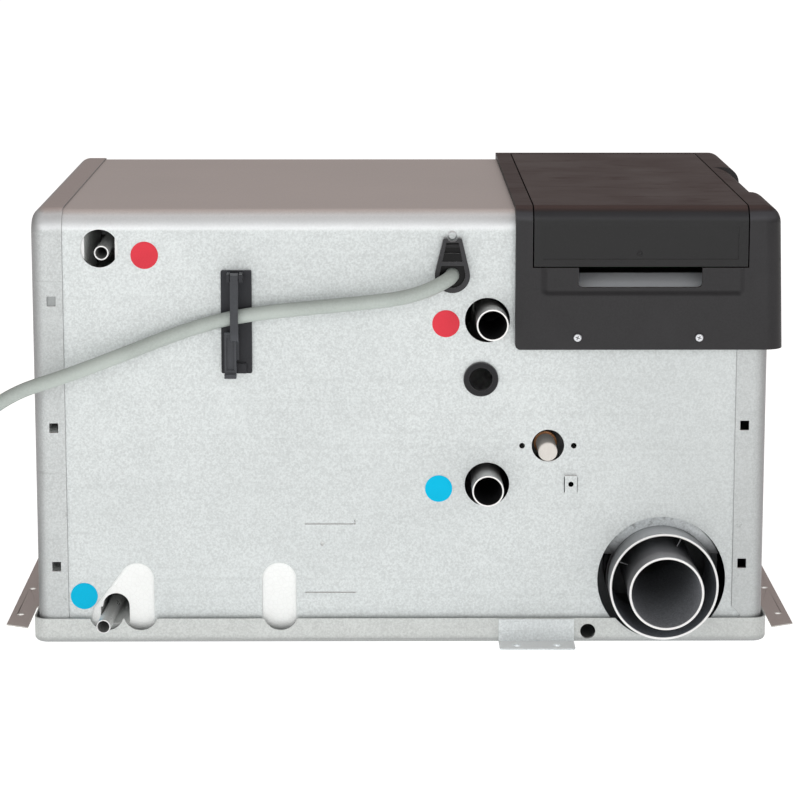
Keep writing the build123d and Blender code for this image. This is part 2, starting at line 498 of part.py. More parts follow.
# ------------------------------------------------------------------ combustion fan
fx, fy, fz = FAN
fh1 = cyl_y(fx, fz, FAN_R, fy - 18, fy + 18)
spig = box(100, fx, fy - 13, fy + 13, fz + 15.9, fz + FAN_R)
fan_case = fh1 + spig + box(91.4, 100.2, fy - 17, fy + 17, fz + 12.0, fz + 48.0)
fan_case -= cyl_y(fx, fz, FAN_R - 2, fy - 16, fy + 16)
fan_case -= box(90, fx, fy - 11, fy + 11, fz + 18.0, fz + FAN_R - 2.0)
fan_case -= cyl_y(fx, fz, 18.0, fy - 25, fy - 10)
fan_case -= cyl_y(fx, fz, 4.0, fy + 10, fy + 25)
put("fan_housing", fan_case)
wheel = cyl_y(fx, fz, 38.0, fy + 10.5, fy + 12.5) + cyl_y(fx, fz, 6.0, fy - 6, fy + 12.5) + cyl_y(fx, fz, 2.5, fy + 12, fy + 44)
for i in range(12):
    a = 30 * i
    wheel += Pos(fx, fy, fz) * Rot(0, a, 0) * Pos(27, 0, 0) * Rot(0, 25, 0) * Box(20, 22, 1.6)
put("fan_impeller", wheel)
motor = cyl_y(fx, fz, 25.0, fy + 18.2, fy + 60) - cyl_y(fx, fz, 2.55, fy, fy + 46)
put("fan_motor", motor)

# ------------------------------------------------------------------ air intake
AX0, AX1, AY0, AY1, AZ0, AZ1 = 139.0, 228.0, -122.0, -60.0, 4.0, 86.0
abox = box(AX0, AX1, AY0, AY1, AZ0, AZ1)
abox = fillet(abox.edges().filter_by(Axis.Y), 6.0)
ain = box(AX0 + 2, AX1 - 2, AY0 + 2, AY1 - 2, AZ0 + 2, AZ1 - 2)
abox -= fillet(ain.edges().filter_by(Axis.Y), 4.0)
abox -= cyl_y(FLUE_X, FLUE_Z, INTAKE_R + 0.1, AY0 - 5, AY0 + 5)
abox -= cyl_y(FLUE_X, FLUE_Z, EXHAUST_R + 0.1, AY1 - 5, AY1 + 5)
abox -= cyl_z(FAN[0], -94, 17.0, AZ1 - 5, AZ1 + 5)
put("intake_air_box", abox)
put("intake_duct", run([(FAN[0], -94, AZ1 + 0.2), (FAN[0], -94, FAN[2]), (FAN[0], -18.2, FAN[2])], [22.0], 19.0, 17.5))

# ------------------------------------------------------------------ gas valve and pipes
GY0, GY1 = -118.0, -62.0
valve = box(86, 120, GY0, GY1, 124, 160)
valve = fillet(valve.edges().filter_by(Axis.Z), 3.0)
coils, plungers = [], []
for cy in (-104.0, -76.0):
    valve += cyl_z(GAS_X, cy, 5.6, 159.5, 186.5)
    valve -= cyl_z(GAS_X, cy, 4.1, 150, 185)
    valve -= cyl_z(GAS_X, cy, 6.6, 143, 152.5)
    coils.append(cyl_z(GAS_X, cy, 13.0, 160.2, 184.0) - cyl_z(GAS_X, cy, 5.75, 150, 200))
    plungers.append(cyl_z(GAS_X, cy, 4.04, 149, 181) + cyl_z(GAS_X, cy, 5.6, 146, 149.2))
put("gas_valve_body", valve)
put("solenoid_coils", coils)
put("solenoid_plunger_a", plungers[0])
put("solenoid_plunger_b", plungers[1])
gas_in = cyl_y(GAS_X, 136.4, PIPE10 - 1.0, -162.0, GY0 - 0.1) + cyl_y(GAS_X, 136.4, 8.2, -136.0, -130.0)
gas_in -= cyl_y(GAS_X, 136.4, 3.0, -165, GY0)
put("gas_inlet_pipe", gas_in)
cap = cyl_y(GAS_X, 136.4, 6.7, -167.0, -137.0) - cyl_y(GAS_X, 136.4, 4.3, -165.2, -130)
cap = fillet([e for e in cap.edges().filter_by(GeomType.CIRCLE) if e.center().Y < -166.9 and e.length > 30], 1.2)
put("gas_inlet_cap", cap)
put("gas_burner_pipe", cyl_y(100.0, 132.0, 3.0, GY1 + 0.1, -34.0) - cyl_y(100.0, 132.0, 2.0, GY1 - 5, -20.0))

# ------------------------------------------------------------------ water pipes
tank_body = cyl_x(0, TANK_Z, TANK_R + 0.03, TANK_X0, TANK_X1)
# each pipe has a sized end that takes the fitting; behind it the pipe is a little thinner
hot_end = cyl_y(-205.5, 277.4, PIPE10, -171.6, -171.6 + END10) - cyl_y(-205.5, 277.4, 4.1, -175, -150)
put("hot_water_pipe", run([(-205.5, -60.0, 262.0), (-205.5, -60.0, 277.4), (-205.5, -171.0, 277.4)], [10.5], PIPE10 - SIZED, 4.1)
    - tank_body + hot_end)
cold_dir = (Vector(-198.9, -60.0, 20.5) - Vector(-206.8, -190.0, 17.5)).normalized()
cold_at = Plane(origin=(-206.8, -190.0, 17.5), z_dir=cold_dir)
cold_end = cold_at * (Pos(0, 0, END10 / 2) * (Cylinder(PIPE10, END10) - Cylinder(4.1, END10 + 10)))
put("cold_water_pipe", run([(-206.8, -190.0, 17.5), (-198.9, -60.0, 20.5), (-198.9, -60.0, 37.8)], [11.0], PIPE10 - SIZED, 4.1)
    - tank_body + cold_end)
for name, px, pz, jz in (("heating_flow_pipe", FLOW_PIPE_X, FLOW_Z, 195), ("heating_return_pipe", RET_X, RET_Z, 105)):
    # the bent outlet is welded to the jacket; the straight end passes the panel
    outlet = run([(JX1 - 0.6, -38, jz), (px, -38, jz), (px, -85, pz), (px, -112.0, pz)], [16.0, 30.0], PIPE22, PIPE22 - 1.2)
    NODES["heating_jacket"] = NODES["heating_jacket"] - cyl_x(-38, jz, PIPE22 - 1.2, JX1 - 5, JX1 + 5) + outlet
    put(name, cyl_y(px, pz, PIPE22, -188.0, -188.0 + END22) + cyl_y(px, pz, PIPE22 - SIZED, -180.0, -112.2)
        - cyl_y(px, pz, PIPE22 - 1.2, -190, -100))

# ------------------------------------------------------------------ flue
# both flue pipes have a ring that thickens their outer 16 mm by SWAGE
exhaust = cyl_y(FLUE_X, FLUE_Z, EXHAUST_R, -205.0, -205.0 + END_FLUE) + cyl_y(FLUE_X, FLUE_Z, EXHAUST_R - SWAGE, -195.0, -57.3)
put("flue_exhaust_pipe", exhaust - cyl_y(FLUE_X, FLUE_Z, EXHAUST_R - SWAGE - 0.9, -210, -50))
intake = cyl_y(FLUE_X, FLUE_Z, INTAKE_R, -187.0, -187.0 + END_FLUE) + cyl_y(FLUE_X, FLUE_Z, INTAKE_R - SWAGE, -178.0, -118.0)
put("flue_intake_pipe", intake - cyl_y(FLUE_X, FLUE_Z, INTAKE_R - SWAGE - 0.8, -190, -110))
fins = []
for a in (64, 158, 285):
    fins.append(Pos(FLUE_X, -150, FLUE_Z) * Rot(0, -a, 0) * Pos((EXHAUST_R + INTAKE_R - 0.8) / 2 - SWAGE, 0, 0)
                * Box(INTAKE_R - 0.8 - EXHAUST_R - 0.2, 26, 1.0))
put("flue_spacers", fins)
# collar on the intake pipe behind the panel: a short sleeve with a flange over its upper half
collar = cyl_y(FLUE_X, FLUE_Z, 38.6, -160.5, -150.0)
collar += cyl_y(FLUE_X, FLUE_Z, 44.2, -160.5, -158.7) - box(FLUE_X - 60, FLUE_X + 60, -170, -150, FLUE_Z - 60, FLUE_Z + 17)
collar -= cyl_y(FLUE_X, FLUE_Z, INTAKE_R - SWAGE + 0.1, -175, -115)
put("flue_collar", collar)

# ------------------------------------------------------------------ electric heating rods and sensor
rods = []
for a0 in (252.0, 306.0):
    ys, zs = [], []
    for a in (a0, a0 + 36):
        ys.append(58.5 * math.cos(math.radians(a)))
        zs.append(TANK_Z + 58.5 * math.sin(math.radians(a)))
    rods.append(run([(JX1 + 3, ys[0], zs[0]), (-150, ys[0], zs[0]), (-150, ys[1], zs[1]), (JX1 + 3, ys[1], zs[1])], [14.0, 14.0], 3.2))
jacket = NODES["heating_jacket"]
for a in (252.0, 288.0, 306.0, 342.0):
    jacket = jacket - cyl_x(58.5 * math.cos(math.radians(a)), TANK_Z + 58.5 * math.sin(math.radians(a)), 3.3, JX1 - 5, JX1 + 5)
put("heating_jacket", jacket)
put("immersion_heaters", rods)
put("temperature_sensor", cyl_x(58.0 * math.cos(math.radians(60)), TANK_Z + 58.0 * math.sin(math.radians(60)), 5.0, JX1 + 0.1, JX1 + 18.0))


# ------------------------------------------------------------------ moulded insulation round the vessels, two halves
IX0, IX1, IY = -252.5, 34.0, 164.9


def foam(z0, z1):
    f = box(IX0, IX1, -IY, IY, z0, z1)
    f = fillet([e for e in f.edges().filter_by(Axis.X) if (e.center().Z > 290)] or f.edges().filter_by(Axis.Y)[0:0], 15.0) if z1 > 250 else f
    f = fillet([e for e in f.edges() if e.center().X < IX0 + 0.1 and z0 + 1 < e.center().Z], 8.8) if z1 > 250 else \
        fillet([e for e in f.edges() if e.center().X < IX0 + 0.1 and z0 + 1 < e.center().Z < z1 - 1], 8.8)
    f -= cyl_x(0, TANK_Z, TANK_R + 0.6, TANK_X0 - 11, TANK_X1 + 3)
    f -= cyl_x(0, TANK_Z, JACKET_R + 1.5, JX0 - 8, IX1 + 5)
    # hollow back corners keep the moulding light
    for sy in (-1, 1):
        for (a, b) in ((14.0, 52.0), (248.0, 288.0)):
            if a >= z0 - 1 and b <= z1 + 1:
                f -= box(-150, 10, sy * 112, sy * 150, a, b)
    return f


lower = foam(FLOOR_Z + 0.1, TANK_Z - 0.1)
lower -= bar((-200.0, 25.3), (-200.0, 22.0), 9.4, -170, -52) + box(-210.9, -190.6, -170, -50, 13.0, 25.0)
lower -= cyl_z(-198.9, -60, 8.0, 12.0, 60.0) + box(-206.9, -190.9, -75, -52, 12.5, 30.0)
lower -= box(-245.5, -236.5, -170, -128, 49, 60)
# lower front edge of the moulding is rounded
lower -= box(IX0 - 1, IX1 + 1, -IY - 1, -IY + 16.0, FLOOR_Z - 1, FLOOR_Z + 16.1) - cyl_x(-IY + 16.0, FLOOR_Z + 16.1, 16.0, IX0 - 5, IX1 + 5)
put("insulation_lower", lower)
upper = foam(TANK_Z + 0.1, 304.4)
upper -= box(HOT_X - 10.6, HOT_X + 10.6, -170, -45, 236.0, 297.0)
upper -= box(-245.5, -236.5, -170, -128, 149, 159)
upper -= cyl_y(35.5, 261.7, 7.5, -170, -100) + cyl_x(-120, 261.7, 7.5, 20, 40)
put("insulation_upper", upper)

total = 0.0
for name, shape in NODES.items():
    export_step(shape, f"parts/{name}.step")
    total += 1
print("nodes", int(total))
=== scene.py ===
"""Looks of the caravan water heater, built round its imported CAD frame."""
import math

import bpy
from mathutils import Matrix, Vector


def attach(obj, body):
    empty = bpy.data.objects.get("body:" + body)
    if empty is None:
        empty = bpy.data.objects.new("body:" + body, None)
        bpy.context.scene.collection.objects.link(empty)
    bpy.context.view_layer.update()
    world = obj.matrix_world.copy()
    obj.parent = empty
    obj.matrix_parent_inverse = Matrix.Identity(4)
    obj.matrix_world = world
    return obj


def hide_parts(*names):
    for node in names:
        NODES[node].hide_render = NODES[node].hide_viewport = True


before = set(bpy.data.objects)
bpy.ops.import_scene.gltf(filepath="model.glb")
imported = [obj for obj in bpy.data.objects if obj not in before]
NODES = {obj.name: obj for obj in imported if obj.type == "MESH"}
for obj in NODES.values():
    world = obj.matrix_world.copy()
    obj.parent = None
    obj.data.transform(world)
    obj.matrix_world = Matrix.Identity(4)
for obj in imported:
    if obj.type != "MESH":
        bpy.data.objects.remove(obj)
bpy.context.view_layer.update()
scene = bpy.context.scene

# ------------------------------------------------------------------ camera, at the photograph's angle
cam_data = bpy.data.cameras.new("camera")
cam = bpy.data.objects.new("camera", cam_data)
scene.collection.objects.link(cam)
cam.location = (-0.01543, -2.04294, 0.55122)
cam.rotation_euler = (math.radians(90 - 9.722), math.radians(-0.033), math.radians(-0.451))
cam_data.lens = 123.93
cam_data.shift_y = -0.1
cam_data.sensor_width = 36.0
cam_data.clip_start, cam_data.clip_end = 0.01, 60.0
scene.camera = cam

# ------------------------------------------------------------------ colour view
scene.view_settings.view_transform = "Standard"
scene.view_settings.look = "None"
scene.view_settings.exposure = 0.0
scene.view_settings.gamma = 1.0


def lin(c):
    """sRGB 0 to 255 as linear RGBA."""
    out = []
    for v in c:
        v = v / 255.0
        out.append(v / 12.92 if v <= 0.04045 else ((v + 0.055) / 1.055) ** 2.4)
    return (*out, 1.0)


class Mat:
    """A procedural material: a base colour with layers of variation, roughness and relief."""

    def __init__(self, name, colour, rough=0.5, metal=0.0, coat=0.0, spec=0.5):
        self.m = bpy.data.materials.new(name)
        self.m.use_nodes = True
        nt = self.nt = self.m.node_tree
        self.p = nt.nodes["Principled BSDF"]
        self.p.inputs["Metallic"].default_value = metal
        self.p.inputs["Roughness"].default_value = rough
        self.p.inputs["Coat Weight"].default_value = coat
        self.p.inputs["Coat Roughness"].default_value = 0.12
        self.p.inputs["Specular IOR Level"].default_value = spec
        self.p.inputs["Base Color"].default_value = colour
        self.colour = None
        self.colour_value = colour
        self.rough = None
        self.rough_value = rough
        self.height = None
        self.normal = None
        tc = nt.nodes.new("ShaderNodeTexCoord")
        self.coord = tc.outputs["Object"]
        self.m.diffuse_color = colour

    def vec(self, scale=(1, 1, 1), rot=(0, 0, 0), loc=(0, 0, 0)):
        n = self.nt.nodes.new("ShaderNodeMapping")
        n.inputs["Scale"].default_value = scale
        n.inputs["Rotation"].default_value = rot
        n.inputs["Location"].default_value = loc
        self.nt.links.new(self.coord, n.inputs["Vector"])
        return n.outputs["Vector"]

    def noise(self, scale, detail=3.0, rough=0.5, stretch=(1, 1, 1), loc=(0, 0, 0), distortion=0.0):
        n = self.nt.nodes.new("ShaderNodeTexNoise")
        n.inputs["Scale"].default_value = scale
        n.inputs["Detail"].default_value = detail
        n.inputs["Roughness"].default_value = rough
        n.inputs["Distortion"].default_value = distortion
        self.nt.links.new(self.vec(stretch, loc=loc), n.inputs["Vector"])
        return n.outputs["Fac"]

    def cells(self, scale, feature="F1", out="Color", stretch=(1, 1, 1), loc=(0, 0, 0)):
        n = self.nt.nodes.new("ShaderNodeTexVoronoi")
        n.feature = feature
        n.inputs["Scale"].default_value = scale
        self.nt.links.new(self.vec(stretch, loc=loc), n.inputs["Vector"])
        return n.outputs[out]

    def ramp(self, fac, lo, hi, a=0.0, b=1.0, smooth=False):
        n = self.nt.nodes.new("ShaderNodeMapRange")
        n.inputs["From Min"].default_value = lo
        n.inputs["From Max"].default_value = hi
        n.inputs["To Min"].default_value = a
        n.inputs["To Max"].default_value = b
        if smooth:
            n.interpolation_type = "SMOOTHSTEP"
        self.nt.links.new(fac, n.inputs["Value"])
        return n.outputs["Result"]

    def math(self, op, a, b=None):
        n = self.nt.nodes.new("ShaderNodeMath")
        n.operation = op
        for i, v in enumerate((a, b)):
            if v is None:
                continue
            if isinstance(v, (int, float)):
                n.inputs[i].default_value = v
            else:
                self.nt.links.new(v, n.inputs[i])
        return n.outputs["Value"]

    def axis(self, i):
        n = self.nt.nodes.new("ShaderNodeSeparateXYZ")
        self.nt.links.new(self.coord, n.inputs["Vector"])
        return n.outputs[i]

    def facing(self, i):
        """One component of the surface's own normal."""
        g = self.nt.nodes.new("ShaderNodeNewGeometry")
        n = self.nt.nodes.new("ShaderNodeSeparateXYZ")
        self.nt.links.new(g.outputs["Normal"], n.inputs["Vector"])
        return n.outputs[i]

    def tint(self, fac, colour, blend="MIX"):
        """Mixes colour in where fac is high."""
        n = self.nt.nodes.new("ShaderNodeMix")
        n.data_type = "RGBA"
        n.blend_type = blend
        a = [s for s in n.inputs if s.name == "A" and s.type == "RGBA"][0]
        b = [s for s in n.inputs if s.name == "B" and s.type == "RGBA"][0]
        f = [s for s in n.inputs if s.name == "Factor" and s.type == "VALUE"][0]
        out = [s for s in n.outputs if s.type == "RGBA"][0]
        if self.colour is None:
            a.default_value = self.colour_value
        else:
            self.nt.links.new(self.colour, a)
        b.default_value = colour
        self.nt.links.new(fac, f)
        self.colour = out
        return self

    def add_rough(self, fac, amount):
        v = self.math("MULTIPLY", fac, amount)
        self.rough = self.math("ADD", self.rough if self.rough is not None else self.rough_value, v)
        return self

    def add_height(self, fac, amount):
        v = self.math("MULTIPLY", fac, amount)
        self.height = v if self.height is None else self.math("ADD", self.height, v)
        return self

    def done(self, strength=1.0):
        if self.colour is not None:
            self.nt.links.new(self.colour, self.p.inputs["Base Color"])
        if self.rough is not None:
            self.nt.links.new(self.rough, self.p.inputs["Roughness"])
        if self.height is not None:
            b = self.nt.nodes.new("ShaderNodeBump")
            b.inputs["Strength"].default_value = strength
            b.inputs["Distance"].default_value = 1.0
            self.nt.links.new(self.height, b.inputs["Height"])
            self.nt.links.new(b.outputs["Normal"], self.p.inputs["Normal"])
        return self.m


def galvanised(name, base, seed=0.0, rough=0.37, metal=0.5, dirt=0.25, scratch=0.35, blotch=0.5, top=None, side=None, bend_highlight=None, floor_shade=None, marks=()):
    """Zinc-coated sheet: fine spangle, soft large blotches, faint rolling lines, scratches, a few dull spots."""
    m = Mat(name, lin(base), rough, metal)
    dark = lin([v * 0.86 for v in base])
    light = lin([min(255, v * 1.05 + 3) for v in base])
    speck = m.noise(820.0, 2.0, 0.6, loc=(seed, 0, 0))
    m.tint(m.ramp(speck, 0.36, 0.60, 0.0, 0.62), dark)
    spangle = m.cells(430.0, "F1", "Distance", loc=(0, seed, 0))
    m.tint(m.ramp(spangle, 0.15, 0.75, 0.0, 0.20), light)
    big = m.noise(9.0, 3.0, 0.5, loc=(seed * 2, 3, 1), distortion=0.4)
    m.tint(m.ramp(big, 0.42, 0.66, 0.0, blotch * 0.5, True), lin([v * 0.92 for v in base]))
    mid = m.noise(38.0, 3.0, 0.55, loc=(1, seed, 7))
    m.tint(m.ramp(mid, 0.50, 0.70, 0.0, 0.12, True), light)
    roll = m.noise(40.0, 2.0, 0.5, stretch=(0.04, 1.0, 6.0), loc=(0, 0, seed))
    m.tint(m.ramp(roll, 0.55, 0.75, 0.0, 0.16), dark)
    scr = m.noise(26.0, 6.0, 0.75, stretch=(0.22, 1.0, 9.0), loc=(seed, 5, 2), distortion=0.8)
    m.tint(m.ramp(scr, 0.64, 0.70, 0.0, scratch), lin([v * 0.78 for v in base]))
    spots = m.noise(70.0, 5.0, 0.7, loc=(4, seed, 4))
    m.tint(m.ramp(spots, 0.68, 0.76, 0.0, dirt), lin([v * 0.62 for v in base]))
    # painted shade: every galvanised material is darkened towards the right end, x 0.06 to 0.24 m
    m.tint(m.ramp(m.axis(0), 0.06, 0.24, 0.0, 0.26, True), dark)
    # painted shade over the lowest 6 mm, where the part stands on the floor
    if floor_shade:
        m.tint(m.ramp(m.axis(2), 0.0005, 0.0060, 0.75, 0.0, True), lin(floor_shade))
    # painted shade: each box in marks is darkened, the sheet seen in shade through a square hole in the end cap
    for mark in marks:
        m.tint(m.math("MULTIPLY", mask_box(m, *mark), 0.85), lin([v * 0.66 for v in base]))
    # painted highlight along the rounded bend between top and front faces
    if bend_highlight:
        up = m.facing(2)
        m.tint(m.math("MULTIPLY", m.ramp(up, 0.05, 0.30, 0.0, 0.70, True), m.ramp(up, 0.74, 0.94, 1.0, 0.0, True)), lin(bend_highlight))
    # painted light: upward faces are tinted toward the top colour
    if top:
        m.tint(m.math("MULTIPLY", m.ramp(m.facing(2), 0.74, 0.98, 0.0, 1.0, True), 0.85), lin(top))
    # painted shade on the rounded side edges, faces turned partly sideways; flat side faces get little of it
    if side:
        across = m.math("ABSOLUTE", m.facing(0))
        m.tint(m.math("MULTIPLY", m.ramp(across, 0.25, 0.93, 0.0, 0.85, True), m.ramp(across, 0.985, 0.9995, 1.0, 0.12)), lin(side))
    m.add_rough(m.ramp(speck, 0.3, 0.7), 0.16).add_rough(m.ramp(big, 0.3, 0.7), 0.10)
    m.add_height(speck, 0.000018).add_height(m.noise(14.0, 2.0), 0.00045).add_height(scr, 0.00002)
    return m.done(0.8)


def moulded(name, base, seed=0.0, rough=0.5, grain=900.0, relief=0.00003, spread=0.14, spec=0.45, coat=0.0, wear=0.12, recess=None, top=None, bend_highlight=None, rim_highlight=None, side=None, crest_highlight=None, painted_glow=0.0):
    """Moulded plastic or rubber: fine grain, soft unevenness, faint rubbed marks and dust."""
    m = Mat(name, lin(base), rough, 0.0, coat, spec)
    if painted_glow:                                                    # painted light: the emission makes the moulding glow in place of light passing through it
        m.p.inputs["Emission Color"].default_value = lin(base)
        m.p.inputs["Emission Strength"].default_value = painted_glow
    dark = lin([v * (1 - spread) for v in base])
    light = lin([min(255, v * (1 + spread) + 4) for v in base])
    fine = m.noise(grain, 2.0, 0.6, loc=(seed, 1, 0))
    m.tint(m.ramp(fine, 0.40, 0.62, 0.0, 0.55), dark)
    soft = m.noise(16.0, 3.0, 0.5, loc=(2, seed, 0), distortion=0.3)
    m.tint(m.ramp(soft, 0.42, 0.68, 0.0, 0.55, True), light)
    rub = m.noise(60.0, 5.0, 0.7, stretch=(0.3, 1.0, 1.6), loc=(seed, seed, 3), distortion=1.0)
    m.tint(m.ramp(rub, 0.62, 0.74, 0.0, wear), lin([min(255, v * 1.25 + 24) for v in base]))
    m.add_rough(m.ramp(soft, 0.35, 0.7), 0.10).add_rough(m.ramp(rub, 0.55, 0.75), 0.12)
    m.add_height(fine, relief).add_height(m.noise(grain * 0.42, 2.0), relief * 0.8)
    # painted highlight along the rounded bend between top and front faces
    if bend_highlight:
        up = m.facing(2)
        m.tint(m.math("MULTIPLY", m.ramp(up, 0.10, 0.40, 0.0, 0.8, True), m.ramp(up, 0.60, 0.85, 1.0, 0.0, True)), lin(bend_highlight))
    # painted light: upward faces are tinted toward the top colour, a warm reflection painted in
    if top:
        m.tint(m.math("MULTIPLY", m.ramp(m.facing(2), 0.6, 0.97, 0.0, 1.0, True), 0.9), lin(top))
    # painted shade on faces turned sideways
    if side:
        m.tint(m.ramp(m.math("ABSOLUTE", m.facing(0)), 0.50, 0.95, 0.0, 0.75, True), lin(side))
    # painted highlight: the front-most crest, in front of the given y, is lightened
    if crest_highlight:
        m.tint(m.ramp(m.axis(1), crest_highlight[0], crest_highlight[0] + 0.0006, 1.0, 0.0, True), lin(crest_highlight[1]))
    # painted highlight on bevels and walls not facing straight forward, strongest on upward ones
    if rim_highlight:
        m.tint(m.math("MULTIPLY", m.ramp(m.facing(1), -0.97, -0.75, 0.0, 0.75, True), m.ramp(m.facing(2), -0.2, 0.5, 0.25, 1.0)), lin(rim_highlight))
    # the bump sinks the recess; the tint paints shade inside it
    if recess:
        m.add_height(mask_box(m, *recess), -0.0024)
        m.tint(m.math("MULTIPLY", mask_box(m, *recess), 0.25), dark)
    return m.done(0.9)


def mask_box(m, lo, hi, soft):
    """1 inside the x and z ranges (metres), falling to 0 over soft."""
    x, z = m.axis(0), m.axis(2)
    a = m.math("MULTIPLY", m.ramp(x, lo[0] - soft, lo[0] + soft, 0, 1, True), m.ramp(x, hi[0] - soft, hi[0] + soft, 1, 0, True))
    b = m.math("MULTIPLY", m.ramp(z, lo[1] - soft, lo[1] + soft, 0, 1, True), m.ramp(z, hi[1] - soft, hi[1] + soft, 1, 0, True))
    return m.math("MULTIPLY", a, b)


def metal(name, base, seed=0.0, rough=0.28, brush="none", stain=0.25, metallic=1.0, relief=0.00001):
    """Bare metal: drawn or turned lines, stains and fine scratches."""
    m = Mat(name, lin(base), rough, metallic)
    stretch = {"none": (1, 1, 1), "y": (1, 0.04, 1), "x": (0.04, 1, 1), "z": (1, 1, 0.04), "ring": (0.6, 14.0, 0.6)}[brush]
    lines = m.noise(420.0, 3.0, 0.6, stretch=stretch, loc=(seed, 0, 0))
    m.tint(m.ramp(lines, 0.35, 0.68, 0.0, 0.45), lin([v * 0.80 for v in base]))
    clouds = m.noise(45.0, 4.0, 0.6, loc=(0, seed, 2), distortion=0.6)
    m.tint(m.ramp(clouds, 0.48, 0.72, 0.0, stain, True), lin([v * 0.66 for v in base]))
    scr = m.noise(90.0, 6.0, 0.75, stretch=(0.3, 1.0, 2.2), loc=(seed, 3, 3), distortion=1.2)
    m.tint(m.ramp(scr, 0.63, 0.70, 0.0, 0.35), lin([min(255, v * 1.12 + 8) for v in base]))
    m.add_rough(m.ramp(lines, 0.3, 0.7), 0.14).add_rough(m.ramp(clouds, 0.4, 0.7), 0.16)
    m.add_height(lines, relief).add_height(scr, relief)
    return m.done(0.8)


def foam(name, base, seed=0.0):
    """Moulded bead foam: rounded beads of 3 to 4 mm with thin grooves between them."""
    m = Mat(name, lin(base), 0.75, 0.0, spec=0.3)
    bead = m.cells(300.0, "DISTANCE_TO_EDGE", "Distance")
    m.tint(m.ramp(bead, 0.0, 0.10, 0.12, 0.0), lin([v * 0.82 for v in base]))
    tone = m.noise(22.0, 3.0, 0.5, loc=(seed, 0, 0))
    m.tint(m.ramp(tone, 0.4, 0.7, 0.0, 0.30, True), lin([v * 0.94 for v in base]))
    m.add_height(m.ramp(bead, 0.0, 0.14), 0.00010).add_height(m.noise(500.0), 0.00004)
    m.add_rough(m.ramp(tone, 0.3, 0.7), 0.10)
    return m.done(0.9)


def flue(name, base, inside, split, seed=0.0, metallic=0.3, centre=(0.1833, 0.0446)):
    """Aluminium pipe that runs along y through centre (x, z): bright outside, painted shade on its flanks and where it
    runs into the panel hole, a painted highlight on its front-facing cut edge, and a dull bore (nearer the axis than
    split, metres) painted dark as shade, flecked lighter.
    """
    m = Mat(name, lin(base), 0.34, metallic)
    lines = m.noise(420.0, 3.0, 0.6, stretch=(0.6, 14.0, 0.6), loc=(seed, 0, 0))
    m.tint(m.ramp(lines, 0.35, 0.68, 0.0, 0.40), lin([v * 0.84 for v in base]))
    clouds = m.noise(45.0, 4.0, 0.6, loc=(0, seed, 2), distortion=0.6)
    m.tint(m.ramp(clouds, 0.48, 0.72, 0.0, 0.35, True), lin([v * 0.74 for v in base]))
    dx, dz = m.math("SUBTRACT", m.axis(0), centre[0]), m.math("SUBTRACT", m.axis(2), centre[1])
    radius = m.math("SQRT", m.math("ADD", m.math("MULTIPLY", dx, dx), m.math("MULTIPLY", dz, dz)))
    bore = m.ramp(radius, split - 0.0002, split + 0.0002, 1.0, 0.0)
    # painted shade: the bore is tinted the dark inside colour; the speckle below lightens it in flecks
    m.tint(bore, lin(inside))
    soot = m.noise(700.0, 3.0, 0.7, loc=(seed, 9, 1))
    m.tint(m.math("MULTIPLY", bore, m.ramp(soot, 0.40, 0.62, 0.0, 0.6)), lin([v * 1.35 for v in inside]))
    # painted shade on the pipe's flanks, faces turned sideways
    flank_shade = m.math("MULTIPLY", m.ramp(m.math("ABSOLUTE", m.facing(0)), 0.10, 0.90, 0.0, 0.80, True), m.ramp(bore, 0.0, 1.0, 1.0, 0.0))
    m.tint(flank_shade, lin([v * 0.46 for v in base]))
    # painted shade where the pipe runs back into the panel hole, y -0.182 to -0.156 m
    panel_hole_shade = m.math("MULTIPLY", m.ramp(m.axis(1), -0.182, -0.156, 0.0, 0.25, True), m.ramp(bore, 0.0, 1.0, 1.0, 0.0))
    m.tint(panel_hole_shade, lin([v * 0.40 for v in base]))
    # painted highlight on the faces turned to the front, the cut edges
    m.tint(m.ramp(m.facing(1), -0.95, -0.55, 0.9, 0.0, True), lin((236, 236, 234)))
    m.add_rough(m.ramp(lines, 0.3, 0.7), 0.14).add_rough(bore, 0.25)
    m.add_height(lines, 0.00001).add_height(clouds, 0.00004)
    return m.done(0.8)


def collar(name, base, seed=0.0):
    """Zinc collar round the flue: bright at the top, with painted shade, near black, toward the lower ends of its
    flange.
    """
    m = Mat(name, lin(base), 0.32, 0.4)
    fine = m.noise(600.0, 2.0, 0.6, loc=(seed, 0, 0))
    m.tint(m.ramp(fine, 0.36, 0.62, 0.0, 0.5), lin([v * 0.84 for v in base]))
    rub = m.noise(120.0, 5.0, 0.7, loc=(seed, 2, 0), distortion=1.2)
    m.tint(m.ramp(rub, 0.50, 0.66, 0.0, 0.6, True), lin([v * 0.62 for v in base]))
    # painted shade: near black below z 0.06 to 0.08 m, toward the lower ends of the flange
    m.tint(m.ramp(m.axis(2), 0.0600, 0.0800, 1.0, 0.0, True), lin((20, 20, 22)))
    m.add_rough(m.ramp(fine, 0.3, 0.7), 0.15)
    m.add_height(rub, 0.00010).add_height(fine, 0.00002)
    return m.done(0.8)


SCREW_CROWN = -0.1757          # y of the cover screws' crowns


def screw(name, base, seed=0.0):
    """Zinc-plated screw: bright crown, with painted shade in its cross recess and under the edge of the head."""
    m = Mat(name, lin(base), 0.26, 0.6)
    lines = m.noise(900.0, 2.0, 0.6, loc=(seed, 0, 0))
    m.tint(m.ramp(lines, 0.40, 0.66, 0.0, 0.4), lin([v * 0.80 for v in base]))
    # painted shade deeper than the crown: the cross recess and the edge of the head
    m.tint(m.ramp(m.axis(1), SCREW_CROWN + 0.0004, SCREW_CROWN + 0.0007, 0.0, 0.9, True), lin((44, 44, 46)))
    m.add_rough(m.ramp(lines, 0.3, 0.7), 0.12)
    m.add_height(lines, 0.00001)
    return m.done(0.8)


